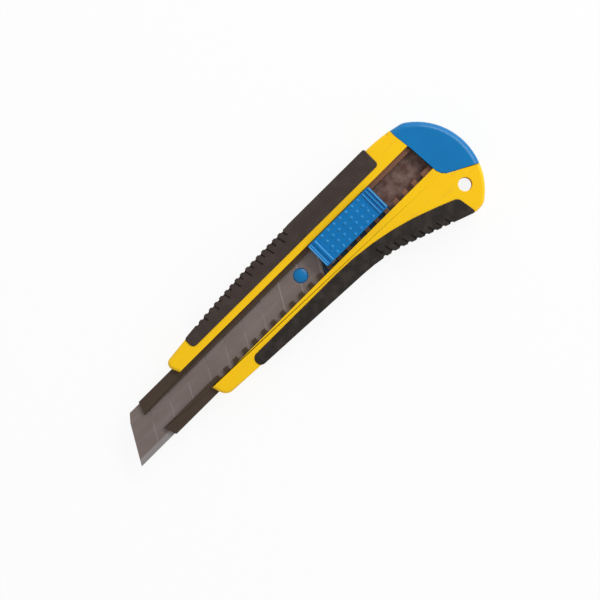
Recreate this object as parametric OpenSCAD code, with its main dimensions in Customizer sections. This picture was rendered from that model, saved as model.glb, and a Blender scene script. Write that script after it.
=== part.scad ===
// Snap-off utility knife: pegged two-shell handle with moulded-on grips, a folded steel
// channel, a sprung auto-lock slider, an 18 mm blade and a pull-off end cap.
//
// Frame: X runs from the blade's tip (-X) to the butt (+X), Y is across the blade towards the
// blade's back (+Y), and Z points out of the thumb side. The origin lies on the underside,
// below the channel's centreline, halfway along the handle.

/* [Blade] */
// Width of the blade, from cutting edge to back
blade_w = 18; // [15:0.5:22]
// Thickness of the blade
blade_t = 0.5; // [0.4:0.05:0.7]
// Length of the cutting edge
blade_len = 101.3; // [95:0.5:108]
// Angle of the tip, the score lines and the rear end
blade_angle = 60; // [55:1:70]
// Distance between score lines
score_pitch = 10; // [8:0.5:12]
// Number of score lines
score_count = 7; // [5:1:7]
// Width of the ground bevel
bevel_w = 2.2; // [1:0.1:3]
// Radius of the hole for the carrier's pin
blade_hole_r = 3; // [2.8:0.1:3.5]

/* [Channel] */
// Thickness of the steel sheet
sheet = 0.5; // [0.4:0.05:0.6]
// Gap between the blade and each side of the channel
side_gap = 0.1; // [0.05:0.05:0.2]
// Height inside the channel
channel_inside = 2.3; // [2.2:0.1:2.6]
// Width of the opening between the lips
lip_opening = 9; // [8:0.5:10]
// How far the channel stands out of the handle's nose
channel_reach = 20; // [15:1:25]
// Pitch of the bites in the lower lip
bite_pitch = 5.13; // [5:0.01:6]
// Width of one bite
bite_w = 3; // [2.8:0.1:3.2]
// Depth of one bite
bite_depth = 3; // [2:0.1:3.2]

/* [Handle] */
// Length of the handle, from nose to butt
handle_len = 143; // [135:1:175]
// Thickness of the handle
handle_t = 11; // [10:0.1:14]
// Wall over the channel, on the thumb side
front_wall = 1.9; // [1.5:0.1:2.4]
// Wall of the underside
back_wall = 1.8; // [1.2:0.1:2.2]
// Depth of the back shell, up to the parting line
back_depth = 4; // [3.8:0.1:4.2]
// Width of the thumb slot
slot_w = 13.2; // [12:0.1:14]
// How much larger the butt's radius is than half the channel's width
butt_over = 16.9; // [16.6:0.1:17.6]
// Radius of the lanyard hole
lanyard_r = 2.7; // [2:0.1:3]
// Radius of the pegs that locate the two shells
peg_r = 1.2; // [1:0.1:1.3]

/* [Grips] */
// How far the rubber stands proud of the thumb side
grip_proud = 0.4; // [0.2:0.1:0.8]
// Thickness of the rubber over the shells' edge
grip_t = 2.2; // [1.8:0.1:2.4]
// Thickness of the rubber over each face
grip_face_t = 1.4; // [1:0.1:1.8]
// Pitch of the ribs on the upper grip
rib_pitch = 3.03; // [2.8:0.01:3.2]
// Pitch of the ribs on the lower grip
lower_pitch = 3.62; // [3.4:0.01:3.7]
// Depth of the hollow between two ribs
rib_depth = 0.6; // [0.3:0.1:0.8]

/* [Slider] */
// Length of the thumb button
button_len = 33; // [30:0.5:34]
// Width of the thumb button
button_w = 11; // [10:0.1:11.4]
// Height of the button's pad above the handle's face
button_rise = 1.9; // [1:0.1:3]
// Travel of the button on the carrier, each way
button_shift = 1; // [0.8:0.1:1.2]
// Running gap between the carrier and the channel
run_gap = 0.15; // [0.1:0.05:0.2]
// Bites that the slider moves back from rest
bites_back = 4; // [3:1:5]

/* [End cap] */
// Length of the end cap, from its face to the butt
cap_len = 17.8; // [16:0.1:20]
// Wall of the end cap
cap_wall = 1.8; // [1.4:0.1:2.2]
// Gap between the cap and the shells
cap_gap = 0.15; // [0.1:0.05:0.3]
// Length of the arms that reach into the handle
arm_len = 12; // [8:0.5:14]
// Width of the slit that bends a blade's end segment off
snap_slit = 1; // [0.8:0.1:1.4]

/* [Hidden] */
$fn = 48;
eps = 0.05;
big = 400;

yellow = [0.98, 0.78, 0.0];
blue = [0.0, 0.44, 0.72];
black = [0.17, 0.14, 0.13];
steel = [0.46, 0.41, 0.39];

// Across the knife
inner_half = blade_w / 2 + side_gap;
edge = inner_half + sheet;
lip_in = lip_opening / 2;

// Along the knife
nose_x = -handle_len / 2;
butt_x = handle_len / 2;
cap_x = butt_x - cap_len;
mouth_x = nose_x - channel_reach;
channel_end = cap_x - 0.3;

// Up through the handle
seat_gap = 0.05;
lip_top = handle_t - front_wall - seat_gap;
lip_under = lip_top - sheet;
floor_top = lip_under - channel_inside;
floor_z = floor_top - sheet;
blade_z = floor_top + run_gap + 1;

// The row of bites, and the one that the nib rests in
first_bite = nose_x + 12.6;
bite_count = floor((channel_end - first_bite - 2) / bite_pitch) + 1;
carrier_tail = 30;
last_bite = floor((cap_x - carrier_tail - 0.2 - first_bite) / bite_pitch);
nib_x = first_bite + bite_pitch * (last_bite - bites_back);

// Slider levels and places
tongue_t = 1;
tongue_top = floor_top + run_gap + tongue_t;
plate_top = lip_under - 0.2;
deck_top = lip_under;
rail_top = lip_top + 0.15;
button_z = rail_top + 0.1;
pad_z = handle_t + button_rise;
button_x = nib_x - 3.2;
button_y = slot_w / 2 - 0.4 - button_w / 2;
pin_x = nib_x - 13;
pin_y = 0.1;
tip_x = pin_x - 96;
leaf_t = 0.4;
post_x = nib_x + 1.4;
post_y = -0.4;
post_r = 0.5;
rail_y = 2.4;
rail_w = 1.7;
leg_w = 1.1;
leg_len = 3;
leg_xs = [nib_x + 8, nib_x + 21];

// Lanyard hole
lanyard_x = butt_x - 11.7;
lanyard_y = -(edge + 10.1);

// Cap bay in the back shell, and the arms in it
bay_x = cap_x - arm_len - 2;
arm_w = 5;
arm_y = 5.5;
arm_t = 1.8;
arm_z = back_wall + 0.15;

function unit(v) = v / norm(v);

// Points round one corner b of an outline, where b is [x, y, radius]
function corner(a, b, c) =
    let (
        p = [b[0], b[1]],
        u = unit([a[0], a[1]] - p),
        v = unit([c[0], c[1]] - p),
        half = acos(u * v) / 2,
        centre = p + unit(u + v) * b[2] / sin(half),
        start = p + u * b[2] / tan(half) - centre,
        from = atan2(start[1], start[0]),
        turn = (180 - 2 * half) * (cross(u, v) < 0 ? 1 : -1),
        steps = max(4, ceil(abs(turn) / 5))
    )
    b[2] == 0 ? [p] : [for (i = [0:steps])
        centre + b[2] * [cos(from + turn * i / steps), sin(from + turn * i / steps)]];

// Outline through corners [x, y, radius], each corner rounded by its own radius
function outline(c) = [for (i = [0:len(c) - 1])
    each corner(c[(i + len(c) - 1) % len(c)], c[i], c[(i + 1) % len(c)])];

// Flat shape of the corners, extruded from z0 to z1
module slab(corners, z0, z1) {
    translate([0, 0, z0]) linear_extrude(z1 - z0) polygon(outline(corners));
}

// Box between two corners
module box(low, high) {
    translate(low) cube(high - low);
}

// The butt's arc, from butt_from to butt_to degrees round its centre, is the rounding of a corner
// where its two end tangents meet. The corners before and after it lie on those tangents.
butt_r = edge + butt_over;
butt_centre = [butt_x - butt_r, -8];
butt_from = 54;
butt_to = -50;
function round_butt(angle) = [cos(angle), sin(angle)];
butt_peak = butt_centre + butt_r / cos((butt_from - butt_to) / 2) * round_butt((butt_from + butt_to) / 2);
butt_before = butt_centre + butt_r * round_butt(butt_from) + 1.7 * round_butt(butt_from + 90);
butt_after = butt_centre + butt_r * round_butt(butt_to) + 3.2 * round_butt(butt_to - 90);

// Side view of the yellow mouldings, nose to butt along the back, then along the belly
belly = -(edge + 20.8);
handle_corners = [
    [nose_x - 1.2, edge + 3.1, 2.6],
    [nose_x + 39.6, edge + 7.3, 500],
    [butt_x - 27, edge + 7.1, 60],
    [butt_x - 20.5, edge + 6.5, 30],
    [butt_before[0], butt_before[1], 6.5],
    [butt_peak[0], butt_peak[1], butt_r],
    [butt_after[0], butt_after[1], 6],
    [butt_x - 16.3, belly + 0.2, 0.6],
    [butt_x - 53, -(edge + 7.2), 73],
    [nose_x + 8.1, -(edge + 3.3), 4.5],
    [nose_x + 6.2, -slot_w / 2, 0.8],
    [nose_x + 1.4, slot_w / 2, 0.8]
];

// Side view of the upper grip
upper_x0 = nose_x + 11.7;
upper_x1 = butt_x - 30.1;
upper_in = edge - 0.2;
crest_x = nose_x + 42;
crest_y = edge + 8.1;
crest_r = 520;
crest_rise = 3.4;
crest_run = crest_x - upper_x0;
flat_x = crest_x + crest_r * tan(atan2(crest_rise, crest_run) / 2);
upper_corners = [
    [upper_x0, upper_in, 2],
    [upper_x0, crest_y - crest_rise, 1.2],
    [crest_x, crest_y, crest_r],
    [upper_x1, crest_y, 0.8],
    [upper_x1, upper_in - 0.1, 1.6]
];

// Side view of the lower grip
lower_x0 = nose_x + 25.2;
lower_x1 = butt_x - 16.4;
lower_in = -(edge - 0.4);
bend_x = butt_x - 53;
bend_y = -(edge + 7.6);
bend_r = 73;
belly_slope = atan2(belly - bend_y, lower_x1 + 0.4 - bend_x);
lower_corners = [
    [lower_x0, lower_in, 2.5],
    [lower_x0, -(edge + 4.6), 2.3],
    [bend_x, bend_y, bend_r],
    [lower_x1 + 0.4, belly, 0.8],
    [lower_x1 - 1, lower_in - 12.4, 3],
    [butt_x - 48.4, lower_in, 122]
];

// Tongue of the shells that one grip is moulded round: the handle's edge moved inward, and the
// grip's own outline with grip_t of rubber left at each end
module core(corners, inward) {
    translate([0, 0, grip_face_t])
    linear_extrude(handle_t - 2 * grip_face_t)
    intersection() {
        translate([0, inward]) polygon(outline(handle_corners));
        polygon(outline(corners));
        translate([corners[0][0] + grip_t, -big / 2])
        square([corners[3][0] - corners[0][0] - 2 * grip_t, big]);
    }
}

// Everything that the two grips take from the shells
module grip_room() {
    difference() {
        slab(upper_corners, -1, handle_t + 1);
        core(upper_corners, -grip_t);
    }
    difference() {
        slab(lower_corners, -1, handle_t + 1);
        core(lower_corners, grip_t);
    }
}

// Side view of the end cap; grow moves its inner edges out, as room for it in the shells
module cap_2d(grow) {
    intersection() {
        polygon(outline(handle_corners));
        polygon([
            [cap_x - grow, big],
            [cap_x - grow, 13],
            [cap_x + 1 - grow, 5],
            [cap_x + 1.9 - grow, -8.1 - grow],
            [cap_x + 2.7 - grow, -10 - grow],
            [cap_x + 4.2 - grow, -11.6 - grow],
            [cap_x + 15.9, -17.6 - grow],
            [cap_x + 60, -40],
            [cap_x + 60, big]
        ]);
    }
}

// Room for the channel, with its seat gap at the sides and over the lips
module channel_room() {
    box([nose_x - 10, -edge - seat_gap, floor_z], [cap_x + 5, edge + seat_gap, lip_top + seat_gap]);
}

// Solid of the yellow handle between two heights, with the room for channel, grips and cap
module handle_block(z0, z1) {
    difference() {
        slab(handle_corners, z0, z1);
        grip_room();
        translate([0, 0, -1]) linear_extrude(handle_t + 2) cap_2d(cap_gap);
        channel_room();
        translate([lanyard_x, lanyard_y, -1]) cylinder(r = lanyard_r, h = handle_t + 2);
    }
}

// Ends of the hollow in the deep rear part of the handle
pocket_x0 = butt_x - 48;
pocket_x1 = butt_x - 22;

// Places of the pegs: three above the channel and three below it
peg_h = 2.5;
peg_places = [
    [nose_x + 32, edge + 1.7],
    [0, edge + 2.4],
    [butt_x - 25, edge + 2.8],
    [0, -(edge + 2.2)],
    [pocket_x0 - 5, -(edge + 2.6)],
    [butt_x - 19, -(edge + 7.9)]
];

module pegs(r, h) {
    for (p = peg_places)
        translate([p[0], p[1], back_depth - 1]) cylinder(r = r, h = h + 1);
}

// Hollow between z0 and z1, crossed by ribs
module pocket(z0, z1) {
    difference() {
        slab([
            [pocket_x0, -(edge + 2), 1],
            [pocket_x1, -(edge + 2), 1],
            [pocket_x1, -(edge + 13), 1],
            [pocket_x0 + 12, -(edge + 6.8), 1],
            [pocket_x0, -(edge + 3.9), 1]
        ], z0, z1);
        for (x = [pocket_x0 + 8, pocket_x0 + 17])
            box([x, -big / 2, z0], [x + 1.2, 0, z1]);
    }
}

module front_shell() {
    color(yellow)
    difference() {
        handle_block(back_depth, handle_t);
        box([nose_x - 10, -slot_w / 2, lip_under], [cap_x + 5, slot_w / 2, handle_t + 1]);
        pegs(peg_r + 0.03, peg_h + 0.3);
        pocket(back_depth - 1, handle_t - front_wall);
    }
}

module back_shell() {
    color(yellow) {
        difference() {
            handle_block(0, back_depth);
            // Troughs under the channel, with cross ribs left between them
            for (x = [nose_x + 12:14:bay_x - 14])
                box([x, -inner_half + 1, back_wall], [x + 12, inner_half - 1, back_depth + 1]);
            // Bay for the arms of the end cap
            box([bay_x, -inner_half + 1, back_wall], [cap_x + 5, inner_half - 1, back_depth + 1]);
            pocket(back_wall, back_depth + 1);
        }
        pegs(peg_r, peg_h);
    }
}

// Rubber: ribs are left between hollows cut across its outer edge
hollow_r = 1.1;
module upper_grip() {
    color(black)
    difference() {
        slab(upper_corners, 0, handle_t + grip_proud);
        core(upper_corners, -grip_t);
        channel_room();
        for (i = [0:16]) {
            x = upper_x0 + 7.7 + rib_pitch * i;
            drop = pow(max(0, flat_x - x), 2) / (2 * crest_r);
            translate([x, crest_y - drop - rib_depth + hollow_r, -1])
            cylinder(r = hollow_r, h = handle_t + 3, $fn = 12);
        }
    }
}

module lower_grip() {
    arc_end = 11;
    color(black)
    difference() {
        slab(lower_corners, 0, handle_t + grip_proud);
        core(lower_corners, grip_t);
        channel_room();
        for (i = [0:8]) {
            along = lower_pitch * i;
            outside = pow(max(0, arc_end - along), 2) / (2 * bend_r);
            translate([bend_x, bend_y, -1])
            rotate([0, 0, belly_slope])
            translate([along, rib_depth - hollow_r - outside, 0])
            cylinder(r = hollow_r, h = handle_t + 3, $fn = 12);
        }
    }
}

// Steel channel: floor, two sides and two lips, all within one plan whose front is cut back
module blade_channel() {
    bite_y = -lip_in - bite_depth + bite_w / 2;
    dimple_r = 4;
    color(steel)
    difference() {
        intersection() {
            union() {
                box([mouth_x, -edge, floor_z], [channel_end, edge, floor_top]);
                box([mouth_x, -edge, floor_z], [channel_end, -inner_half, lip_top]);
                box([mouth_x, inner_half, floor_z], [channel_end, edge, lip_top]);
                box([mouth_x, -edge, lip_under], [channel_end, -lip_in, lip_top]);
                box([mouth_x, lip_in, lip_under], [channel_end, edge, lip_top]);
                // Two pressed dimples that hold the blade up near the mouth
                for (x = [mouth_x + 6.5, mouth_x + 12])
                    intersection() {
                        translate([x, 0, blade_z - 0.1 - dimple_r]) sphere(r = dimple_r);
                        box([x - 4, -4, floor_z], [x + 4, 4, blade_z]);
                    }
            }
            slab([
                [mouth_x + 1.9, edge, 0],
                [mouth_x, lip_in, 0.8],
                [mouth_x + 1.8, -lip_in, 1],
                [mouth_x + 3.6, -edge, 0.6],
                [channel_end, -edge, 0],
                [channel_end, edge, 0]
            ], 0, handle_t);
        }
        for (i = [0:bite_count - 1])
            translate([first_bite + bite_pitch * i, 0, lip_under - eps]) {
                translate([0, bite_y, 0]) cylinder(r = bite_w / 2, h = sheet + 1, $fn = 24);
                box([-bite_w / 2, bite_y, 0], [bite_w / 2, -lip_in + 1, sheet + 1]);
            }
    }
}

// Cap with a hollow that opens towards the handle, two arms, and the snapping slit in its end
module end_cap() {
    hollow_x = cap_x + 3;
    color(blue) {
        difference() {
            linear_extrude(handle_t) cap_2d(0);
            intersection() {
                translate([0, 0, cap_wall])
                linear_extrude(handle_t - 2 * cap_wall)
                translate([-cap_wall, 0]) cap_2d(0);
                box([cap_x - 1, -inner_half + 1, 0], [butt_x, inner_half - 1, handle_t]);
            }
            box([butt_x - 6, -7, handle_t / 2], [butt_x + 1, 7, handle_t / 2 + snap_slit]);
        }
        intersection() {
            for (y = [-arm_y, arm_y])
                box([cap_x - arm_len, y - arm_w / 2, arm_z], [butt_x, y + arm_w / 2, arm_z + arm_t]);
            linear_extrude(handle_t) {
                translate([cap_x - arm_len, -arm_y - arm_w]) square([arm_len + 4, 2 * arm_y + 2 * arm_w]);
                cap_2d(0);
            }
        }
    }
}

// Thumb button: hollow block with ridges, domes, two legs through the carrier and a cam post
module slider_button() {
    x0 = button_x;
    x1 = button_x + button_len;
    y0 = button_y - button_w / 2;
    y1 = button_y + button_w / 2;
    skin = 1.2;
    color(blue) {
        difference() {
            union() {
                slab([[x0, y0, 0.6], [x1, y0, 0.6], [x1, y1, 0.6], [x0, y1, 0.6]], button_z, pad_z);
                // Ridge block in front and three ridges behind
                box([x0, y0 + 0.4, pad_z - 1], [x0 + 3.8, y1 - 0.4, pad_z + 0.6]);
                for (x = [x1 - 4, x1 - 2.3, x1 - 0.8])
                    box([x, y0 + 0.4, pad_z - 1], [x + 0.8, y1 - 0.4, pad_z + 0.6]);
            }
            box([x0 + skin, y0 + skin, button_z - 1], [x1 - skin, y1 - skin, pad_z - skin]);
            box([x0 + 1.4, y0 - 1, pad_z + 0.2], [x0 + 2.4, y1 + 1, pad_z + 1]);
        }
        // Domes in a square grid
        for (i = [0:6])
            for (j = [0:3])
                translate([x0 + 6.7 + 3.25 * i, y0 + 1.4 + 2.85 * j, pad_z - 0.55])
                intersection() {
                    sphere(r = 1, $fn = 16);
                    translate([-1, -1, 0.4]) cube([2, 2, 1]);
                }
        // Legs, each with a foot that hooks under the carrier's plate
        for (x = leg_xs) {
            box([x, rail_y + 0.3, floor_top + run_gap + 0.3],
                [x + leg_len, rail_y + 0.3 + leg_w, pad_z - skin + eps]);
            box([x, rail_y - 0.5, floor_top + run_gap + 0.3],
                [x + leg_len, rail_y + 0.3 + leg_w, floor_top + run_gap + 0.8]);
        }
        translate([post_x, post_y, deck_top + 0.05])
        cylinder(r = post_r, h = pad_z - skin - deck_top, $fn = 32);
    }
}

// Carrier: tongue and pin under the blade, plate in the channel, deck between the lips, rail
module blade_carrier() {
    half = inner_half - run_gap;
    low = floor_top + run_gap;
    lean = 1 / tan(blade_angle);
    rear_x = tip_x + blade_len + 0.3;
    tail_x = nib_x + carrier_tail;
    leg_room = button_shift + 0.2;
    color(blue)
    difference() {
        union() {
            slab([[pin_x - 4, -6, 2], [tail_x, -6, 0], [tail_x, 6, 0], [pin_x - 4, 6, 2]], low, tongue_top);
            slab([
                [rear_x + (blade_w / 2 - half) * lean, -half, 0],
                [tail_x, -half, 0.8],
                [tail_x, half, 0.8],
                [rear_x + (blade_w / 2 + half) * lean, half, 0]
            ], low, plate_top);
            box([nib_x - 1.9, -lip_in + 0.3, low], [tail_x - 1.5, lip_in - 0.3, deck_top]);
            box([nib_x + 5.5, rail_y, low], [nib_x + 27, rail_y + rail_w, rail_top]);
            // Boss that the leaf spring is riveted over
            translate([nib_x + 17, -2.6, deck_top - eps]) cylinder(r = 0.8, h = leaf_t + 0.2, $fn = 32);
            // Pin with a domed head in the blade's hole
            translate([pin_x, pin_y, tongue_top - eps]) cylinder(r = blade_hole_r - 0.35, h = blade_t + eps);
            translate([pin_x, pin_y, tongue_top + blade_t])
            intersection() {
                translate([0, 0, -5.5]) sphere(r = 6.1);
                cylinder(r = blade_hole_r - 0.35, h = 1);
            }
        }
        // Slots for the button's legs, and recesses for their feet under the plate
        for (x = leg_xs) {
            box([x - leg_room, rail_y + 0.15, low - 1],
                [x + leg_len + leg_room, rail_y + 0.45 + leg_w, rail_top + 1]);
            box([x - leg_room, rail_y - 0.7, low - 1],
                [x + leg_len + leg_room, rail_y + 0.45 + leg_w, floor_top + run_gap + 1]);
        }
        // Room for the blade's rear end, cut back along its slant
        slab([
            [pin_x + 5, -blade_w / 2, 0],
            [rear_x, -blade_w / 2, 0],
            [rear_x + blade_w * lean, blade_w / 2, 0],
            [pin_x + 5, blade_w / 2, 0]
        ], tongue_top, rail_top + 1);
    }
}

// Leaf spring: eye over the boss, thin arm, head with a chevron window, nib in a bite
module lock_spring() {
    z0 = deck_top;
    z1 = deck_top + leaf_t;
    lean = 1.3;
    nib_depth = 1;
    window_x = button_shift + post_r + 0.1;
    window_y = (post_r + 0.08) * sqrt(1 + lean * lean);
    color(steel)
    difference() {
        union() {
            box([nib_x + 15, -4.1, z0], [nib_x + 19, -1.1, z1]);
            box([nib_x + 4, -4.1, z0], [nib_x + 16, -3.1, z1]);
            box([nib_x - 1.8, -4.1, z0], [nib_x + 4.6, 1.3, z1]);
            box([nib_x - 1.1, -lip_in - nib_depth, z0], [nib_x + 1.1, -4, z1]);
        }
        translate([nib_x + 17, -2.6, z0 - 1]) cylinder(r = 0.85, h = 3, $fn = 32);
        translate([post_x, post_y, z0 - 1])
        linear_extrude(3)
        polygon([
            [0, window_y],
            [window_x, window_y - lean * window_x],
            [window_x, -window_y - lean * window_x],
            [0, -window_y],
            [-window_x, -window_y - lean * window_x],
            [-window_x, window_y - lean * window_x]
        ]);
    }
}

// Blade: slanted ends, ground bevel along the edge, score lines across the face, one hole
module blade() {
    lean = 1 / tan(blade_angle);
    low = -blade_w / 2;
    high = blade_w / 2;
    score_depth = 0.12;
    score_w = 0.25;
    color(steel)
    difference() {
        intersection() {
            translate([0, 0, blade_z - 1])
            linear_extrude(3)
            polygon([
                [tip_x, low],
                [tip_x + blade_len, low],
                [tip_x + blade_len + blade_w * lean, high],
                [tip_x + blade_w * lean, high]
            ]);
            translate([tip_x - 1, 0, 0])
            rotate([90, 0, 90])
            linear_extrude(blade_len + 20)
            polygon([
                [low, blade_z + blade_t / 2],
                [low + bevel_w, blade_z],
                [high, blade_z],
                [high, blade_z + blade_t],
                [low + bevel_w, blade_z + blade_t]
            ]);
        }
        for (k = [1:score_count])
            translate([tip_x + score_pitch * k, low, blade_z + blade_t - score_depth])
            rotate([0, 0, blade_angle])
            translate([-1, -score_w / 2, 0])
            cube([blade_w / sin(blade_angle) + 2, score_w, 1]);
        translate([pin_x, pin_y, blade_z - 1]) cylinder(r = blade_hole_r, h = 3);
    }
}

front_shell();
back_shell();
upper_grip();
lower_grip();
blade_channel();
end_cap();
slider_button();
blade_carrier();
lock_spring();
blade();
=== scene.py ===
"""Snap-off utility knife: yellow two-shell handle, rubber grips, steel channel, blue slider and cap.

Lengths are in metres. X runs from the blade's tip to the butt, Y across the blade towards its back,
and Z out of the thumb side, as in the frame.
"""
import math

import bpy
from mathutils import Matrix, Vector


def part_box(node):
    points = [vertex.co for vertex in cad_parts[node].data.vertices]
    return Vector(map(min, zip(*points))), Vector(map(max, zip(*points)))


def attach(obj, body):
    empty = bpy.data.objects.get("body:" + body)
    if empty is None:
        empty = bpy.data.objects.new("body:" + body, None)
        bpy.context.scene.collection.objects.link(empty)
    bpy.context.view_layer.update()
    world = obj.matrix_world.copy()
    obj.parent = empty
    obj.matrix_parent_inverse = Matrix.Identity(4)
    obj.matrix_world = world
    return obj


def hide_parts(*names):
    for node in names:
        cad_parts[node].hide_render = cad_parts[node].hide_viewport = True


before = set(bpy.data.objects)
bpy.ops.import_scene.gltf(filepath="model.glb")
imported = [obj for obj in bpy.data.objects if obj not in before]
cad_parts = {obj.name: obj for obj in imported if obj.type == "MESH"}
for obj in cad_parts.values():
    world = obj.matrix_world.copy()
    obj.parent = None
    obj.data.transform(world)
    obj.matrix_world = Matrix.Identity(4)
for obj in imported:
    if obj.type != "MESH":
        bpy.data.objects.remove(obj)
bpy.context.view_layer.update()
MM = 0.001

scene = bpy.context.scene
scene.view_settings.view_transform = "Standard"

# Camera: far above the thumb side on a long lens, so that the handle's sides stay hidden.
# The knife lies from lower left to upper right.
camera_data = bpy.data.cameras.new("camera")
sensor_width = 36
long_lens = 300
camera_data.sensor_width = sensor_width
camera_data.lens = long_lens
view_width = 232.56 * MM
face_height = 11 * MM
camera = bpy.data.objects.new("camera", camera_data)
camera.location = (-17.23 * MM, -6.44 * MM, face_height + view_width * long_lens / sensor_width)
camera.rotation_euler = (0, 0, math.radians(-44.8))
scene.collection.objects.link(camera)
scene.camera = camera


# Shells: two glossy yellow mouldings, split level and pegged, with their outer rims rounded.
# The thumb slot is open at the nose, and the lanyard hole goes through the tail.
class Socket:
    """A shader socket that takes Python's operators as Math nodes."""

    def __init__(self, tree, out):
        self.tree = tree
        self.out = out

    def math(self, operation, *others):
        return Socket(self.tree, self.tree.node("Math", self, *others, operation=operation).outputs[0])

    def __add__(self, other):
        return self.math("ADD", other)

    def __mul__(self, other):
        return self.math("MULTIPLY", other)

    def __sub__(self, other):
        return self.math("SUBTRACT", other)

    def __rsub__(self, other):
        return (self * -1) + other

    __radd__ = __add__
    __rmul__ = __mul__

    def above(self, edge, soft):
        """0 below edge, 1 above it, with a ramp soft wide."""
        made = self.tree.node("MapRange", self, edge - soft / 2, edge + soft / 2)
        return Socket(self.tree, made.outputs[0])

    def band(self, middle, width, soft):
        """1 within a band of this width, 0 outside it."""
        low = self.above(middle - width / 2, soft)
        return low - self.above(middle + width / 2, soft)


class Finish:
    """A material with its Principled shader, read in the object's own coordinates."""

    def __init__(self, name, metallic=0.0, specular=0.5, coat=0.0):
        self.material = bpy.data.materials.new(name)
        self.material.use_nodes = True
        self.nodes = self.material.node_tree.nodes
        self.links = self.material.node_tree.links
        self.shader = self.nodes["Principled BSDF"]
        self.shader.inputs["Metallic"].default_value = metallic
        self.shader.inputs["Specular IOR Level"].default_value = specular
        self.shader.inputs["Coat Weight"].default_value = coat
        self.place = Socket(self, self.nodes.new("ShaderNodeTexCoord").outputs["Object"])
        split = self.node("SeparateXYZ", self.place)
        self.x, self.y, self.z = (Socket(self, out) for out in split.outputs)

    def node(self, kind, *values, **settings):
        made = self.nodes.new("ShaderNode" + kind)
        for name, value in settings.items():
            setattr(made, name, value)
        for slot, value in zip(made.inputs, values):
            if isinstance(value, Socket):
                self.links.new(value.out, slot)
            elif value is not None:
                slot.default_value = value
        return made

    def noise(self, scale, detail=2.0, stretch=(1, 1, 1)):
        turned = self.node("Mapping", self.place)
        turned.inputs["Scale"].default_value = stretch
        made = self.nodes.new("ShaderNodeTexNoise")
        self.links.new(turned.outputs[0], made.inputs["Vector"])
        made.inputs["Scale"].default_value = scale
        made.inputs["Detail"].default_value = detail
        return Socket(self, made.outputs[0])

    def mix(self, factor, first, second):
        made = self.node("Mix", data_type="RGBA")
        for slot, value in ((0, factor), (6, first), (7, second)):
            if isinstance(value, Socket):
                self.links.new(value.out, made.inputs[slot])
            else:
                made.inputs[slot].default_value = (*value, 1.0)
        return Socket(self, made.outputs[2])

    def use(self, colour, roughness, relief, depth):
        """Links the colour, the roughness, and a relief of 0 to 1 that is depth metres high."""
        made = self.node("Bump")
        made.inputs["Distance"].default_value = depth
        self.links.new(relief.out, made.inputs["Height"])
        self.links.new(made.outputs[0], self.shader.inputs["Normal"])
        self.links.new(colour.out, self.shader.inputs["Base Color"])
        self.links.new(roughness.out, self.shader.inputs["Roughness"])


def copy_of(node, name):
    """A new piece with a node's faces, merged, and its flat faces made whole again."""
    piece = bpy.data.objects.new(name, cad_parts[node].data.copy())
    scene.collection.objects.link(piece)
    piece.data.materials.clear()
    bpy.ops.object.select_all(action="DESELECT")
    piece.select_set(True)
    bpy.context.view_layer.objects.active = piece
    bpy.ops.object.mode_set(mode="EDIT")
    bpy.ops.mesh.select_all(action="SELECT")
    bpy.ops.mesh.remove_doubles(threshold=0.002 * MM)
    bpy.ops.mesh.dissolve_limited(angle_limit=math.radians(0.3))
    bpy.ops.object.mode_set(mode="OBJECT")
    return piece


def round_rim(piece, height, width, outside, segments=4):
    """Rounds the edges at one height whose side wall, by its middle and normal, is outside."""
    mesh = piece.data
    walls = {}
    for face in mesh.polygons:
        for key in face.edge_keys:
            walls.setdefault(key, []).append(face)
    kept = []
    for edge in mesh.edges:
        ends = [mesh.vertices[v].co / MM for v in edge.vertices]
        level = all(abs(p.z - height) < 0.01 for p in ends)
        sides = [f for f in walls.get(edge.key, []) if abs(f.normal.z) < 0.5]
        kept.append(level and len(sides) == 1 and outside((ends[0] + ends[1]) / 2, sides[0].normal))
    bpy.ops.object.select_all(action="DESELECT")
    piece.select_set(True)
    bpy.context.view_layer.objects.active = piece
    bpy.ops.object.mode_set(mode="EDIT")
    bpy.ops.mesh.select_mode(type="EDGE")
    bpy.ops.mesh.select_all(action="DESELECT")
    bpy.ops.object.mode_set(mode="OBJECT")
    mesh.edges.foreach_set("select", kept)
    bpy.ops.object.mode_set(mode="EDIT")
    bpy.ops.mesh.bevel(
        offset=width * MM,
        segments=segments,
        affect="EDGES",
        clamp_overlap=False,
        loop_slide=False,
    )
    bpy.ops.mesh.select_all(action="SELECT")
    bpy.ops.mesh.remove_doubles(threshold=0.002 * MM)
    bpy.ops.mesh.dissolve_limited(angle_limit=math.radians(0.3))
    bpy.ops.object.mode_set(mode="OBJECT")


def fit_piece(piece, body, node, finish):
    """Shades a piece, gives it its material, and puts it in the place of its node."""
    piece.data.materials.append(finish.material)
    bpy.ops.object.select_all(action="DESELECT")
    piece.select_set(True)
    bpy.context.view_layer.objects.active = piece
    bpy.ops.object.shade_smooth_by_angle(angle=math.radians(32))
    level = piece.modifiers.new("level_faces", "WEIGHTED_NORMAL")
    level.weight = 100
    level.keep_sharp = True
    bpy.ops.object.modifier_apply(modifier="level_faces")
    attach(piece, body)
    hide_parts(node)


yellow = Finish("yellow_plastic", specular=0.3, coat=0.05)
warm = yellow.noise(70, 3)
handling = yellow.noise(420, 5, (0.3, 1, 1)).above(0.66, 0.14)
clean_yellow = yellow.mix(warm, (0.95, 0.545, 0.001), (0.97, 0.6, 0.002))
yellow.use(
    yellow.mix(handling * 0.35, clean_yellow, (0.8, 0.43, 0.012)),
    0.3 + 0.14 * yellow.noise(900, 2) + 0.1 * handling,
    yellow.noise(2600, 2),
    0.008 * MM,
)

# Places on the shells in millimetres, and how far from each a wall still belongs to it
butt_centre = Vector((45, -8))
butt_reach = 25.6
hole_centre = Vector((59.8, -19.7))
hole_reach = 3.2


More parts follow.
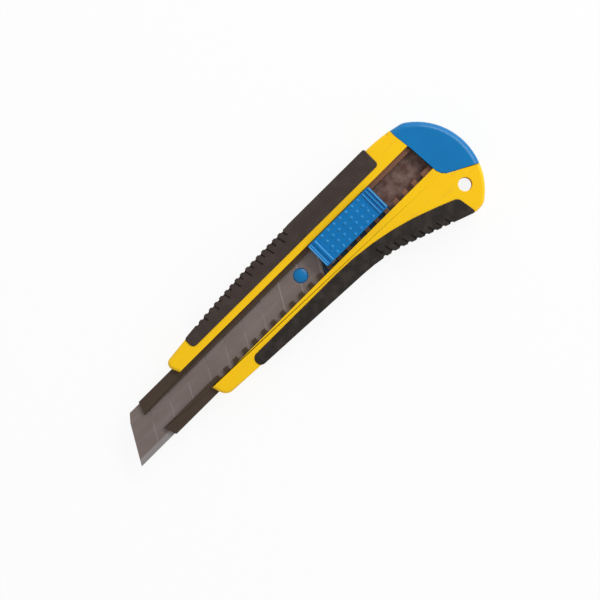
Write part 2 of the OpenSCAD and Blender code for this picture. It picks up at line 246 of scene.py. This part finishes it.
def outer_wall(p, normal):
    """True on the handle's outline: not at the slot, the grips, the cap or the lanyard hole."""
    along = Vector((p.x, p.y))
    at_slot = abs(p.y) < 6.8
    at_grip = (-60.5 < p.x < 42.2 and p.y > 0) or (-47.5 < p.x < 55.7 and p.y < 0)
    at_cap = p.x > 52 and p.y > -19 and (along - butt_centre).length < butt_reach
    at_hole = (along - hole_centre).length < hole_reach
    return not (at_slot or at_grip or at_cap or at_hole)


def hole_wall(p, normal):
    """True on the lanyard hole."""
    return (Vector((p.x, p.y)) - hole_centre).length < hole_reach


face_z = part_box("front_shell")[1].z / MM
rim_round = 1.3
hole_round = 0.35
front_shell = copy_of("front_shell", "front_moulding")
round_rim(front_shell, face_z, rim_round, outer_wall)
round_rim(front_shell, face_z, hole_round, hole_wall, 3)
fit_piece(front_shell, "handle", "front_shell", yellow)
back_shell = copy_of("back_shell", "back_moulding")
round_rim(back_shell, 0, rim_round, outer_wall)
round_rim(back_shell, 0, hole_round, hole_wall, 3)
fit_piece(back_shell, "handle", "back_shell", yellow)

# Grips: matt black rubber moulded over the handle's back and belly, with cross ribs at its edge.
# Leaning grooves run in from the hollows between the ribs, on both faces.
rubber = Finish("grip_rubber", specular=0.35)
dust = rubber.noise(260, 5)
# Painted sheen: the upper grip is painted paler than the lower grip of the same rubber
upper_grip_painted_sheen = rubber.y.above(0, 10 * MM)
rubber_with_painted_sheen = rubber.mix(upper_grip_painted_sheen, (0.012, 0.0085, 0.006), (0.04, 0.025, 0.02))
rubber.use(
    rubber.mix(dust.above(0.56, 0.25) * 0.5, rubber_with_painted_sheen, (0.062, 0.044, 0.036)),
    0.52 + 0.25 * rubber.noise(1500, 2),
    rubber.noise(4200, 2),
    0.025 * MM,
)


def cut_grooves(grip, places, lean):
    """Cuts slots into both faces; each place is the slot's outer end in mm and its length."""
    levels = [vertex.co.z for vertex in grip.data.vertices]
    depth = 0.5 * MM
    cutters = []
    for x, y, length, inward in places:
        for level in (min(levels), max(levels)):
            turned = math.radians(lean)
            middle = (x + math.sin(turned) * length / 2, y + inward * math.cos(turned) * length / 2)
            bpy.ops.mesh.primitive_cube_add(
                size=1,
                location=(middle[0] * MM, middle[1] * MM, level),
                rotation=(0, 0, -inward * turned),
                scale=(0.75 * MM, (length + 0.8) * MM, 2 * depth),
            )
            cutters.append(bpy.context.object)
    bpy.ops.object.select_all(action="DESELECT")
    for cutter in cutters:
        cutter.select_set(True)
    bpy.context.view_layer.objects.active = cutters[0]
    bpy.ops.object.join()
    cutter = bpy.context.object
    bpy.ops.object.select_all(action="DESELECT")
    grip.select_set(True)
    bpy.context.view_layer.objects.active = grip
    slots = grip.modifiers.new("grooves", "BOOLEAN")
    slots.object = cutter
    slots.solver = "EXACT"
    bpy.ops.object.modifier_apply(modifier="grooves")
    bpy.data.objects.remove(cutter)


def plain_upper_wall(p, normal):
    """True away from the upper grip's ribs, whose edges stay crisp."""
    return not (-54 < p.x < -1 and normal.y > -0.7)


def plain_lower_wall(p, normal):
    """True away from the lower grip's ribs."""
    return not (16.5 < p.x < 49.5 and normal.y < 0.7)


upper_box = [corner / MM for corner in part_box("upper_grip")]
rib_pitch = 3.03
crest_x = -29.5
crest_radius = 520
rubber_round = 0.35
upper_grooves = []
for i in range(17):
    groove_x = upper_box[0].x + 7.7 + rib_pitch * i
    groove_len = 3.6 if i % 2 == 1 else 2.0
    drop = max(0, crest_x - groove_x) ** 2 / (2 * crest_radius)
    upper_grooves.append((groove_x, upper_box[1].y - drop - 0.5, groove_len, -1))
upper_grip = copy_of("upper_grip", "upper_rubber")
cut_grooves(upper_grip, upper_grooves, 15)
round_rim(upper_grip, upper_box[1].z, rubber_round, plain_upper_wall, 3)
round_rim(upper_grip, 0, rubber_round, plain_upper_wall, 3)
fit_piece(upper_grip, "handle", "upper_grip", rubber)

belly_start = (18.5, -17.2)
belly_slope = math.atan2(-13.2, 37)
bend_end = 11
bend_radius = 73
lower_pitch = 3.62
lower_grooves = []
for i in range(9):
    along = lower_pitch * i
    rise = max(0, bend_end - along) ** 2 / (2 * bend_radius)
    lower_grooves.append((
        belly_start[0] + along * math.cos(belly_slope) - 0.4,
        belly_start[1] + along * math.sin(belly_slope) + rise + 0.5,
        2.4,
        1,
    ))
lower_grip = copy_of("lower_grip", "lower_rubber")
lower_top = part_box("lower_grip")[1].z / MM
cut_grooves(lower_grip, lower_grooves, -15)
round_rim(lower_grip, lower_top, rubber_round, plain_lower_wall, 3)
round_rim(lower_grip, 0, rubber_round, plain_lower_wall, 3)
fit_piece(lower_grip, "handle", "lower_grip", rubber)


# Blade channel: folded sheet steel, dark at the mouth and browner on its floor, with a reddish-brown
# reflection of the yellow handle painted on its lips towards the rear.
# Its rear end is drawn out to follow the slanted front of the cap.
channel = Finish("channel_steel", metallic=0.6)
wear = channel.noise(330, 6)
rust = channel.noise(90, 3)
lips = channel.z.above(8.2 * MM, 0.2 * MM)
# Painted reflection: the lips turn reddish brown towards the rear, standing in for the yellow handle
# reflected in them
rear_painted_reflection = channel.x.above(15 * MM, 50 * MM)
floor_colour = channel.mix(wear.above(0.5, 0.3), (0.13, 0.062, 0.05), (0.25, 0.16, 0.135))
lip_colour = channel.mix(rust * 0.6, (0.066, 0.045, 0.03), (0.11, 0.07, 0.05))
lip_colour = channel.mix(rear_painted_reflection, lip_colour, (0.25, 0.12, 0.078))
channel.use(
    channel.mix(lips, floor_colour, lip_colour),
    0.42 + 0.2 * wear,
    channel.noise(1800, 3, (0.1, 1, 1)),
    0.015 * MM,
)


def any_wall(p, normal):
    """True on every wall."""
    return True


lip_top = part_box("blade_channel")[1].z / MM
channel_piece = copy_of("blade_channel", "steel_channel")
round_rim(channel_piece, lip_top, 0.14, any_wall, 2)
channel_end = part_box("blade_channel")[1].x
rear_reach = 0.6 * MM
rear_slant = 0.1
slant_start = 5 * MM
for vertex in channel_piece.data.vertices:
    if vertex.co.x > channel_end - 0.2 * MM:
        vertex.co.x += rear_reach + max(0, slant_start - vertex.co.y) * rear_slant
fit_piece(channel_piece, "handle", "blade_channel", channel)


def give_finish(node, finish):
    """Puts a material in every slot of a node that keeps its own shape."""
    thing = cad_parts[node]
    if not thing.material_slots:
        thing.data.materials.append(finish.material)
    for place in thing.material_slots:
        place.material = finish.material


# Blade: carbon steel strip, ground along its edge and scored so that its segments snap off.
# The faces are tarnished violet-grey, the ground edge is bright, and a highlight is painted along each
# score.
blade_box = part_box("blade")
steel = Finish("blade_steel", metallic=0.55)
score_pitch = 10 * MM
score_lean = 1 / math.tan(math.radians(60))
grain = steel.noise(420, 4, (0.12, 1, 1))
stain = steel.noise(70, 3)
run = steel.x - steel.y * score_lean - (blade_box[0].x - blade_box[0].y * score_lean)
place_in_segment = (run * (1 / score_pitch)).math("PINGPONG", 0.5)
# Painted highlight: a pale line is painted along each score line
score_painted_highlights = (1 - place_in_segment.above(0.02, 0.012)) * run.above(score_pitch / 2, score_pitch / 10)
ground_width = 2.2 * MM
ground = 1 - steel.y.above(blade_box[0].y + ground_width, 0.15 * MM)
face_colour = steel.mix(stain, (0.21, 0.155, 0.135), (0.29, 0.24, 0.225))
face_colour = steel.mix(grain.above(0.58, 0.2) * 0.3, face_colour, (0.3, 0.25, 0.25))
edge_colour = steel.mix(grain, (0.3, 0.27, 0.27), (0.48, 0.44, 0.45))
face_colour = steel.mix(score_painted_highlights * 0.65, face_colour, (0.46, 0.4, 0.39))
steel.use(
    steel.mix(ground, face_colour, edge_colour),
    0.32 + 0.18 * grain,
    steel.noise(2500, 3, (0.08, 1, 1)),
    0.006 * MM,
)
blade_piece = copy_of("blade", "snap_blade")
# The sharp corner at the front of the blade's back is cut off
bpy.ops.object.mode_set(mode="EDIT")
bpy.ops.mesh.select_all(action="SELECT")
corner_x = blade_box[0].x + (blade_box[1].y - blade_box[0].y) * score_lean
bpy.ops.mesh.bisect(
    plane_co=(corner_x + 0.9 * MM, blade_box[1].y, 0),
    plane_no=(-0.75, 0.66, 0),
    clear_outer=True,
    use_fill=True,
)
bpy.ops.object.mode_set(mode="OBJECT")
fit_piece(blade_piece, "slider", "blade", steel)
give_finish("lock_spring", steel)

# Slider: a blue carrier that runs in the channel, with a domed pin in the blade's hole, and a
# thumb button on top with a ridge block, a grid of small domes and three ridges behind.
blue = Finish("blue_plastic", specular=0.3, coat=0.1)
cloud = blue.noise(90, 3)
blue_colour = blue.mix(cloud, (0.0005, 0.16, 0.43), (0.001, 0.19, 0.48))
blue.use(
    blue_colour,
    0.28 + 0.12 * blue.noise(800, 2),
    blue.noise(2400, 2),
    0.008 * MM,
)

button = Finish("button_plastic", specular=0.25, coat=0.1)
button_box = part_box("slider_button")
pad_z = 12.9 * MM
raised = button.z.above(pad_z + 0.02 * MM, 0.04 * MM)
# Painted highlights along the edges of the ridge block and of the rear ridges: each is a place in from
# the end
ridge_painted_highlights = button.x.band(button_box[0].x + 0.3 * MM, 0.5 * MM, 0.2 * MM)
for offset, width in ((1.2, 0.25), (3.6, 0.5)):
    ridge_painted_highlights = ridge_painted_highlights + button.x.band(button_box[0].x + offset * MM, width * MM, 0.2 * MM)
for offset, width in ((3.9, 0.5), (2.2, 0.3), (0.45, 0.55)):
    ridge_painted_highlights = ridge_painted_highlights + button.x.band(button_box[1].x - offset * MM, width * MM, 0.2 * MM)
button_cloud = button.noise(90, 3)
pad_colour = button.mix(button_cloud, (0.0005, 0.15, 0.42), (0.001, 0.185, 0.49))
# Painted highlight: the raised domes in the middle of the pad are painted paler blue
dome_painted_highlight = raised * button.x.band((button_box[0].x + button_box[1].x) / 2, 24 * MM, 0.2 * MM)
pad_colour = button.mix(dome_painted_highlight * 0.4, pad_colour, (0.01, 0.27, 0.6))
button.use(
    button.mix(ridge_painted_highlights * raised * 0.8, pad_colour, (0.09, 0.4, 0.78)),
    0.28 + 0.12 * button.noise(800, 2),
    button.noise(2400, 2),
    0.008 * MM,
)
button_piece = copy_of("slider_button", "thumb_button")
ridge_z = button_box[1].z / MM
round_rim(button_piece, ridge_z, 0.18, any_wall, 3)
fit_piece(button_piece, "button", "slider_button", button)

carrier = Finish("carrier_plastic", specular=0.3, coat=0.1)
# Painted shade: the carrier's deck under the blade is painted nearly black with a mottle, and only the
# pin end keeps its blue
deck_shade_mottle = carrier.noise(200, 4)
on_pin = 1 - carrier.x.above(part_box("blade_carrier")[0].x + 9 * MM, 1 * MM)
deck_painted_shade = carrier.mix(deck_shade_mottle, (0.006, 0.02, 0.045), (0.01, 0.045, 0.1))
carrier.use(
    carrier.mix(on_pin, deck_painted_shade, (0.0008, 0.18, 0.46)),
    0.25 + 0.15 * carrier.noise(800, 2),
    carrier.noise(2400, 2),
    0.008 * MM,
)
give_finish("blade_carrier", carrier)

# End cap: a hollow blue moulding that plugs into the butt on two arms. Its outer rim is broadly
# rounded, and the slit across its end bends segments off the blade.
end_cap = copy_of("end_cap", "cap_moulding")


def cap_rim(p, normal):
    """True on the cap's outer arc, whose walls face the butt."""
    return normal.x > 0.15 and p.x > 53


cap_front_round = 2.6
cap_back_round = 1.6
round_rim(end_cap, face_z, cap_front_round, cap_rim, 8)
round_rim(end_cap, 0, cap_back_round, cap_rim, 5)
fit_piece(end_cap, "cap", "end_cap", blue)

# Floor and light: a white sheet, a long soft strip lamp on the butt's side, and a pale room
# that is dimmer overhead.
bpy.ops.mesh.primitive_plane_add(size=4, location=(0, 0, -0.2 * MM))
sheet = bpy.context.object
sheet.name = "floor"
paper = Finish("floor_white", specular=0.0)
paper.shader.inputs["Base Color"].default_value = (0.9, 0.9, 0.9, 1.0)
paper.shader.inputs["Roughness"].default_value = 0.9
seen = Socket(paper, paper.node("LightPath").outputs["Is Camera Ray"])
glow = paper.node("Emission", (1, 1, 1, 1), 1.0)
both = paper.node("MixShader", seen * 0.9)
paper.links.new(paper.shader.outputs[0], both.inputs[1])
paper.links.new(glow.outputs[0], both.inputs[2])
paper.links.new(both.outputs[0], paper.nodes["Material Output"].inputs["Surface"])
sheet.data.materials.append(paper.material)

world = bpy.data.worlds.new("studio")
world.use_nodes = True
room = world.node_tree
direction = room.nodes.new("ShaderNodeTexCoord")
height = room.nodes.new("ShaderNodeSeparateXYZ")
fade = room.nodes.new("ShaderNodeMapRange")
fade.inputs["From Min"].default_value = 0.0
fade.inputs["From Max"].default_value = 1.0
fade.inputs["To Min"].default_value = 1.0
fade.inputs["To Max"].default_value = 0.35
room.nodes["Background"].inputs["Color"].default_value = (1, 1, 1, 1)
room.links.new(direction.outputs["Generated"], height.inputs[0])
room.links.new(height.outputs["Z"], fade.inputs["Value"])
room.links.new(fade.outputs[0], room.nodes["Background"].inputs["Strength"])
scene.world = world

strip = bpy.data.lights.new("strip_lamp", "AREA")
strip.shape = "RECTANGLE"
strip.size = 1.2
strip.size_y = 0.35
strip.energy = 10
lamp = bpy.data.objects.new("strip_lamp", strip)
lamp.location = (0.92, 0.1, 0.77)
lamp.rotation_euler = (-lamp.location).to_track_quat("-Z", "Y").to_euler()
scene.collection.objects.link(lamp)
